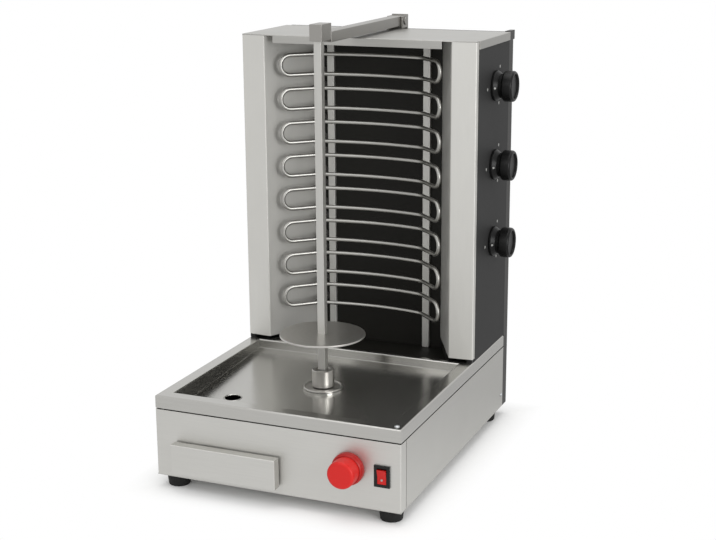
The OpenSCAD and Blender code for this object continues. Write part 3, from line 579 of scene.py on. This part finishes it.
# Rear cover
# A shallow steel pan closes the back of the base and the cabinet. It is powder-coated black and
# has two banks of vents, and pan-head screws hold it to the flanges of the side sheets.
black_coat = surface("black_powder_coat", {})
# The powder flows out to an orange peel of about 1.5 mm.
peel = noise(black_coat, 0.0015, 2)
haze = noise(black_coat, 0.12, 3)
tint(black_coat, haze, "131210", "1d1c19")
roughen(black_coat, haze, 0.4, 0.56)
emboss(black_coat, peel, 0.12, 0.0002)
cover = node_copy("rear_cover", "rear_cover_sheet")
cover_low, cover_high = (own_mm(p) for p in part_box("rear_cover"))
cover_front = 510


def cover_fold(p, d):
    side = abs(p.x) > half_width - 0.1
    back_or_foot = p.y > cover_high.y - 0.1 or p.z < cover_low.z + 0.1
    return p.y > cover_front - 0.1 and (side or back_or_foot)


fold_radius(cover, 1.5, 4, cover_fold)
soften(cover, 0.3)
dress(cover, "rear_cover_pan", black_coat, "casing", "black_paint", "rear_cover")

# Pan-head screws pressed from zinc-plated wire, with a round driver recess.


def pan_screw(places, turn):
    shank = [(1.7, -6), (1.7, 0), (3.6, 0)]
    head = [(3.75, 0.3), (3.6, 0.9), (3.0, 1.5), (2.0, 1.85), (1.1, 1.95)]
    recess = [(0.9, 1.2), (0.3, 0.9)]
    return place_copies(turned("pan_screw", shank + head + recess, 24), places, turn)


quarter = math.pi / 2
screw_x, screw_heights = 189.5, (42, 106, 192, 640)
side_screw_y, side_screw_z = 480, 42
back_places = [at(x, cover_front, z) for x in (-screw_x, screw_x) for z in screw_heights]
back_screws = pan_screw(back_places, (-quarter, 0, 0))
left_screw = pan_screw([at(-half_width, side_screw_y, side_screw_z)], (0, -quarter, 0))
right_screw = pan_screw([at(half_width, side_screw_y, side_screw_z)], (0, quarter, 0))
screws = joined(back_screws, left_screw, right_screw)
dress(screws, "casing_pan_screws", zinc, "casing", "bright_steel", "casing_screws")
# One more holds the tray down at the right front corner of its rim.
tray_screw = pan_screw([at(189, 12, tray_top)], (0, 0, 0))
dress(tray_screw, "tray_pan_screw", zinc, "casing", "bright_steel")

# Mains entry
# A nylon gland clamps the mains cable in the rear cover, and a ceramic terminal block inside
# takes its wires. The nylon is moulded with a fine matt grain.
nylon = surface("moulded_black_nylon", {"Specular IOR Level": 0.3})
# The mould's spark grain is about 0.1 mm, drawn at 0.6 mm to show.
grain = noise(nylon, 0.0006, 3)
tint(nylon, grain, "080808", "101010")
roughen(nylon, grain, 0.36, 0.5)
emboss(nylon, grain, 0.1, 0.0001)
gland = node_copy("cable_gland", "gland")
soften(gland, 0.5)
dress(gland, "cable_gland_nut", nylon, "casing", "black_plastic", "cable_gland")

ceramic = surface("dark_glazed_steatite", {"Roughness": 0.55})
speck = noise(ceramic, 0.0012, 4)
tint(ceramic, speck, "2c2a28", "363431")
paint_node("terminal_block", ceramic)

# Cabinet floor and back
# Sheet steel, stoved in black heat paint, closes the cabinet under and behind the elements.
# The paint is matt, and the heat has dulled it in soft clouds.
heat_paint = surface("black_heat_paint", {"Specular IOR Level": 0.2})
dull = noise(heat_paint, 0.07, 4)
tint(heat_paint, dull, "100f0c", "191814")
roughen(heat_paint, dull, 0.5, 0.68)
for node in ("cabinet_floor", "inner_back_panel"):
    sheet = node_copy(node, node)
    soften(sheet, 0.3)
    dress(sheet, f"{node}_sheet", heat_paint, "casing", "black_paint", node)

# Element rails
# Two stainless channels screwed to the back panel carry the rods, open towards the panel.
# The reflectors and rails are drawn paler than the side sheets: painted light, mainly for the lit left reflector.
upright_steel = ground_stainless("ground_stainless_upright_sheet_painted_light", 2, "d2d1cd", "c2c1bd", 0.56, 0.64)
for side in ("left", "right"):
    rail = node_copy(f"element_rail_{side}", "rail")
    soften(rail, 0.5)
    dress(rail, f"element_rail_channel_{side}", upright_steel, "casing", "stainless_steel", f"element_rail_{side}")

# Ceramic beads: two for each element, pressed in the back panel round its legs.
beads = node_copy("element_beads", "beads")
soften(beads, 0.5)
dress(beads, "ceramic_leg_beads", ceramic, "casing", "ceramic", "element_beads")

# Heating elements
# Each is a steel-sheathed rod bent into a long loop, which bows back round the meat and comes
# forward at its ends. A ring of the rod's section is swept along the loop by spins and
# extrusions, and the two legs that go back through the beads are joined on.
sheath = surface("annealed_sheath_steel", {"Metallic": 1})
# Annealing leaves a satin grey with faint blotches about 15 mm long.
blotch = noise(sheath, 0.015, 4)
tint(sheath, blotch, "959490", "a6a5a1")
roughen(sheath, blotch, 0.26, 0.4)

rod_radius, leg_radius, loop_radius, bend_radius = 3.25, 3, 16.2, 36
rod_y, bow_half, bow, end_length, leg_x = 375, 82, 9, 36, 100
heading = math.radians(44)
up = (0, 0, 1)
bow_radius = (bow_half**2 + bow**2) / (2 * bow)
bow_angle = math.asin(bow_half / bow_radius)
bend_angle = heading - bow_angle
out_x, out_y = math.cos(heading), math.sin(heading)
bend_x = bow_half - bend_radius * math.sin(bow_angle)
bend_y = rod_y - bend_radius * math.cos(bow_angle)
end_x, end_y = bend_x + bend_radius * out_y, bend_y + bend_radius * out_x
loop_x, loop_y = end_x + end_length * out_x, end_y - end_length * out_y
leg_y = end_y - (leg_x - end_x) * out_y / out_x


def run(x, y, z):
    bpy.ops.mesh.extrude_region_move(TRANSFORM_OT_translate={"value": Vector((x, y, z)) / 1000})


def bend(angle, steps, centre, axis):
    # The spin operator counts its angle the other way round than the rotations above.
    bpy.ops.mesh.spin(steps=steps, angle=-angle, center=centre, axis=axis)


for number in range(1, 9):
    low, high = (own_mm(p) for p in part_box(f"heating_element_{number}"))
    middle = (low.z + high.z) / 2
    clear_selection()
    bpy.ops.mesh.primitive_circle_add(
        vertices=20,
        radius=rod_radius / 1000,
        location=at(-bow_half, rod_y, middle + loop_radius),
        rotation=(0, quarter, bow_angle),
    )
    rod = bpy.context.object
    bpy.ops.object.transform_apply(location=True, rotation=True)
    bpy.ops.object.mode_set(mode="EDIT")
    bpy.ops.mesh.select_all(action="SELECT")
    bow_centre = at(0, rod_y + bow - bow_radius, middle)
    left, right = at(-bend_x, bend_y, middle), at(bend_x, bend_y, middle)
    bend(-2 * bow_angle, 24, bow_centre, up)
    bend(-bend_angle, 8, right, up)
    run(end_length * out_x, -end_length * out_y, 0)
    bend(math.pi, 28, at(loop_x, loop_y, middle), (out_y, out_x, 0))
    run(-end_length * out_x, end_length * out_y, 0)
    bend(bend_angle, 8, right, up)
    bend(2 * bow_angle, 24, bow_centre, up)
    bend(bend_angle, 8, left, up)
    run(-end_length * out_x, -end_length * out_y, 0)
    bend(math.pi, 28, at(-loop_x, loop_y, middle), (-out_y, out_x, 0))
    run(end_length * out_x, end_length * out_y, 0)
    bend(-bend_angle, 8, left, up)
    bpy.ops.mesh.select_all(action="SELECT")
    bpy.ops.mesh.remove_doubles(threshold=0.00002)
    bpy.ops.mesh.normals_make_consistent(inside=False)
    bpy.ops.object.mode_set(mode="OBJECT")
    legs = []
    for height in (middle + loop_radius, middle - loop_radius):
        bpy.ops.mesh.primitive_cylinder_add(
            vertices=20,
            radius=leg_radius / 1000,
            depth=(high.y - leg_y) / 1000,
            location=at(-leg_x, (high.y + leg_y) / 2, height),
            rotation=(quarter, 0, 0),
        )
        legs.append(bpy.context.object)
        bpy.ops.object.transform_apply(location=True, rotation=True)
    rod = joined(rod, *legs)
    dress(rod, f"heating_rod_{number}", sheath, "casing", "element_steel", f"heating_element_{number}")

# Reflectors
# Two folded stainless sheets line the sides of the cabinet and end in broad front flanges. The
# folds have the tool's radius, and black pads hold the flanges off the tray's rim; the pads' black
# is partly painted shade, for the dark gap at the flanges' feet.


def flange_fold(p, d):
    fold = p.y < 321 and abs(p.x) > 157 and not 161.9 < abs(p.x) < 197.9
    return abs(d.z) > 0.9 and fold


for side in ("left", "right"):
    reflector = node_copy(f"reflector_{side}", "reflector")
    fold_radius(reflector, 1.6, 4, flange_fold)
    soften(reflector, 0.3)
    dress(reflector, f"reflector_sheet_{side}", upright_steel, "casing", "stainless_steel", f"reflector_{side}")
# The pads are black nylon, and their black also stands for the dark shade at the flanges' feet: partly painted
# shade.
pads = node_copy("flange_pads", "pads")
soften(pads, 0.6)
dress(pads, "flange_rest_pads_painted_shade", nylon, "casing", "black_plastic", "flange_pads")

# Side panels
# Steel sheets in a dark grey satin powder coat close the cabinet's sides. The right one carries
# the heat controls, whose positions are marked with three printed dots for each knob.
grey_coat = surface("dark_grey_powder_coat", {"Specular IOR Level": 0.1})
peel = noise(grey_coat, 0.0015, 2)
haze = noise(grey_coat, 0.12, 3)
tint(grey_coat, haze, "2b2b2b", "313131")
roughen(grey_coat, haze, 0.52, 0.64)
emboss(grey_coat, peel, 0.1, 0.0002)
for side in ("left", "right"):
    panel = node_copy(f"side_panel_{side}", "side_panel")
    soften(panel, 0.4)
    dress(panel, f"side_panel_sheet_{side}", grey_coat, "casing", "grey_paint", f"side_panel_{side}")
paint_node("energy_regulators", nylon)

# Screen-printed dots, 5 mm wide, in a pale grey ink that is a little worn.
# The same pale ink also draws the painted glint on the rocker switch.
ink_and_glint = surface("pale_grey_ink_and_painted_glint", {"Roughness": 0.6})
wear = noise(ink_and_glint, 0.001, 3)
tint(ink_and_glint, wear, "868683", "9f9f9c")
knob_axes = [own_mm((low + high) / 2) for low, high in (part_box(f"knob_{i}") for i in (1, 2, 3))]
dial_radius, dial_angles = 38, (183, 47, -53)
dot_places = []
for axis in knob_axes:
    for angle in dial_angles:
        turn = math.radians(angle)
        out_y, out_z = dial_radius * math.cos(turn), dial_radius * math.sin(turn)
        dot_places.append(at(half_width, axis.y + out_y, axis.z + out_z))
dot = turned("dot", [(2.5, -0.1), (2.5, 0.08), (2.4, 0.12)], 24)
dots = place_copies(dot, dot_places, (0, quarter, 0))
dress(dots, "dial_position_dots", ink_and_glint, "casing", "grey_paint")

# Top panel
# A stainless sheet with a front lip and two side lips folded down over the cabinet's walls.
# The top sheet is drawn darker than the side sheets: painted shade.
top_steel = ground_stainless("ground_stainless_top_sheet_painted_shade", 0, "afaeaa", "9f9e9a")
top = node_copy("top_panel", "top_panel")
_, top_high = (own_mm(p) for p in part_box("top_panel"))


def lip_fold(p, d):
    side_lip = abs(p.x) > top_high.x - 0.1
    front_lip = p.y < 316.1 and abs(p.x) < 144
    return p.z > top_high.z - 0.1 and (side_lip or front_lip)


fold_radius(top, 1.2, 4, lip_fold)
soften(top, 0.3)
dress(top, "top_panel_sheet", top_steel, "casing", "stainless_steel", "top_panel")

# Spit arm
# A square stainless bar turns up on a pin in the clevis at the back. The block at its front end
# holds the brass bush that steadies the spit's upper end.
brass = surface("turned_brass", {"Metallic": 1, "Roughness": 0.3})
tarnish = noise(brass, 0.004, 3)
tint(brass, tarnish, "a1833f", "c6a65a")
paint_node("arm_bush", brass)
# The arm is drawn much darker than the sheets: painted shade, for the dim surroundings that its faces mirror.
arm_steel = ground_stainless("ground_stainless_arm_bar_painted_shade", 1, "999793", "918f8b")
for node, body in (("arm_bar", "arm"), ("arm_block", "arm"), ("arm_clevis", "casing"), ("arm_pin", "casing")):
    piece = node_copy(node, node)
    soften(piece, 0.7)
    dress(piece, f"{node}_steel", arm_steel, body, "bright_steel", node)

# Spit
# The coupling drives a square bar that carries a loose round plate under the meat. The bar's
# round upper end turns in the arm's bush.
coupling_low, coupling_high = (own_mm(p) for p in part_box("drive_coupling"))
foot_z, rim_z = coupling_low.z, coupling_high.z
barrel = [(8.1, foot_z), (16.9, foot_z), (17.5, foot_z + 0.6), (17.5, rim_z - 0.8), (16.8, rim_z)]
socket = [(11.4, rim_z), (10.5, rim_z - 0.8), (10.5, rim_z - 4), (5.9, rim_z - 4)]
coupling = turned("coupling", barrel + socket, 72)
coupling.location = at(0, (coupling_low.y + coupling_high.y) / 2, 0)
dress(coupling, "turned_drive_coupling", turned_steel, "spit", "bright_steel", "drive_coupling")
spit = node_copy("spit_shaft", "spit")
soften(spit, 0.5)
# The spit is drawn paler than the drive shaft's drawn bar: painted light on its shaded lower part.
spit_steel = ground_stainless("ground_stainless_spit_bar_painted_light", 2, "c2c1bd", "b3b2ae", 0.42, 0.52)
dress(spit, "square_spit_bar", spit_steel, "spit", "bright_steel", "spit_shaft")

plate = node_copy("meat_disc", "plate")
soften(plate, 0.5, 3)
dress(plate, "round_meat_plate", turned_steel, "spit", "bright_steel", "meat_disc")

# Heat knobs
# Three black moulded knobs with a cone skirt, a narrow neck and a round grip whose face is dished.
# Each is turned from its profile, and a pale dot on the skirt points to the dial's zero.
knob_plastic = surface("moulded_black_phenolic", {"Specular IOR Level": 0.2})
grain = noise(knob_plastic, 0.0012, 3)
tint(knob_plastic, grain, "080808", "0f0f0f")
roughen(knob_plastic, grain, 0.28, 0.4)
# The grip's rim and dish are given by their depth behind its front.
skirt = [(20, 1), (24.1, 1), (24.5, 1.4), (24.5, 4.2), (24.1, 5), (20.2, 10.2)]
neck = [(19.4, 10.8), (19.4, 15.4), (20, 16), (22, 16), (23.3, 16.6), (24.2, 17.8), (24.5, 19.2)]
rim = [(24.5, 4.2), (24.2, 2.4), (23.2, 0.9), (21.8, 0.15), (20.8, 0), (19.8, 0.3), (19.2, 1.2)]
dish = [(18.8, 3), (10, 3.4), (3, 3)]
dot_lean = math.radians(37)
for number, axis in enumerate(knob_axes, 1):
    _, high = (own_mm(p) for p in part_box(f"knob_{number}"))
    reach = high.x - half_width
    grip = [(radius, reach - depth) for radius, depth in rim + dish]
    knob = turned("knob", skirt + neck + grip, 72)
    knob.rotation_euler = (0, quarter, 0)
    knob.location = at(half_width, axis.y, axis.z)
    dress(knob, f"heat_knob_{number}_grip", knob_plastic, f"heat_knob_{number}", "knob_plastic", f"knob_{number}")
    pointer = turned("pointer", [(1.7, -0.6), (1.7, 0.1), (1.5, 0.2)], 20)
    dot_place = at(half_width + 7, axis.y - 22.5, axis.z - 1.5)
    pointer = place_copies(pointer, [dot_place], (quarter, 0, dot_lean))
    dress(pointer, f"heat_knob_{number}_dot", ink_and_glint, f"heat_knob_{number}", "knob_plastic")
    paint_node(f"knob_spindle_{number}", bar_steel)

# Red button
# A red mushroom cap stands in a round red collar on the front panel. Both are moulded, with
# rounded rims and a satin surface, and the stem and contacts are behind the panel.
red = surface("moulded_red_plastic", {"Specular IOR Level": 0.3})
grain = noise(red, 0.0015, 3)
shade = tint(red, grain, "b9130f", "c51c17")
roughen(red, grain, 0.34, 0.46)
collar_low, collar_high = (own_mm(p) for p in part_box("estop_collar"))
button_x = (collar_low.x + collar_high.x) / 2
button_z = (collar_low.z + collar_high.z) / 2
collar_wall = [(24, 0), (24.5, 0.5), (24.5, 6.5), (24.2, 8), (23.5, 9.4), (22.5, 10.5), (21.6, 11)]
collar_inside = [(21.25, 10.7), (21.2, 10), (21.2, 3), (8, 3)]
collar = turned("collar", collar_wall + collar_inside, 72)
collar.rotation_euler = (quarter, 0, 0)
collar.location = at(button_x, 0, button_z)
# The collar is drawn in a deeper red than the cap: painted shade, as it lies in the cap's shadow.
collar_painted_shade = red.copy()
collar_painted_shade.name = "moulded_red_plastic_painted_shade"
collar_shade_mix = collar_painted_shade.node_tree.nodes[shade.name]
collar_shade_mix.inputs[6].default_value = linear("940d0c")
collar_shade_mix.inputs[7].default_value = linear("a01310")
dress(collar, "red_button_collar", collar_painted_shade, "casing", "red_plastic", "estop_collar")
cap_low, _ = (own_mm(p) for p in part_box("estop_cap"))
face = -cap_low.y
cap_wall = [(20.6, 8.5), (21, 8.9), (21, face - 4.6), (20.7, face - 2.8)]
cap_dome = [(19.8, face - 1.3), (18.3, face - 0.35), (16.5, face), (3, face)]
cap = turned("cap", cap_wall + cap_dome, 72)
cap.rotation_euler = (quarter, 0, 0)
cap.location = at(button_x, 0, button_z)
dress(cap, "red_button_cap", red, "button_cap", "red_plastic", "estop_cap")
paint_node("estop_stem", nylon)
paint_node("estop_contact_block", nylon)

# Rocker switch
# A black nylon frame is snapped in the front panel, and a red translucent rocker with a hollow
# face tilts in it. A pale dot low on the rocker is a painted highlight, a glint on its lens.
switch_frame = node_copy("rocker_frame", "switch_frame")
soften(switch_frame, 0.7, 3)
dress(switch_frame, "rocker_switch_frame", nylon, "casing", "black_plastic", "rocker_frame")
lens = surface("red_translucent_polycarbonate", {"Roughness": 0.28, "Specular IOR Level": 0.3})
depth = noise(lens, 0.006, 2)
tint(lens, depth, "ab100c", "bd1813")
rocker = node_copy("rocker_button", "rocker")
soften(rocker, 0.5, 3)
dress(rocker, "rocker_switch_button", lens, "rocker", "red_plastic", "rocker_button")
bpy.context.view_layer.update()
# The pale dot is a painted highlight, a glint on the rocker's lens, drawn in the dial ink.
_, spot, facing, _ = rocker.ray_cast(at(171, -40, 68.6), Vector((0, 1, 0)))
rocker_glint = turned("rocker_glint", [(1.7, -0.3), (1.7, 0.08), (1.5, 0.15)], 24)
rocker_glint = place_copies(rocker_glint, [spot], facing.to_track_quat("Z", "Y").to_euler())
dress(rocker_glint, "rocker_switch_painted_glint", ink_and_glint, "rocker", "red_plastic")
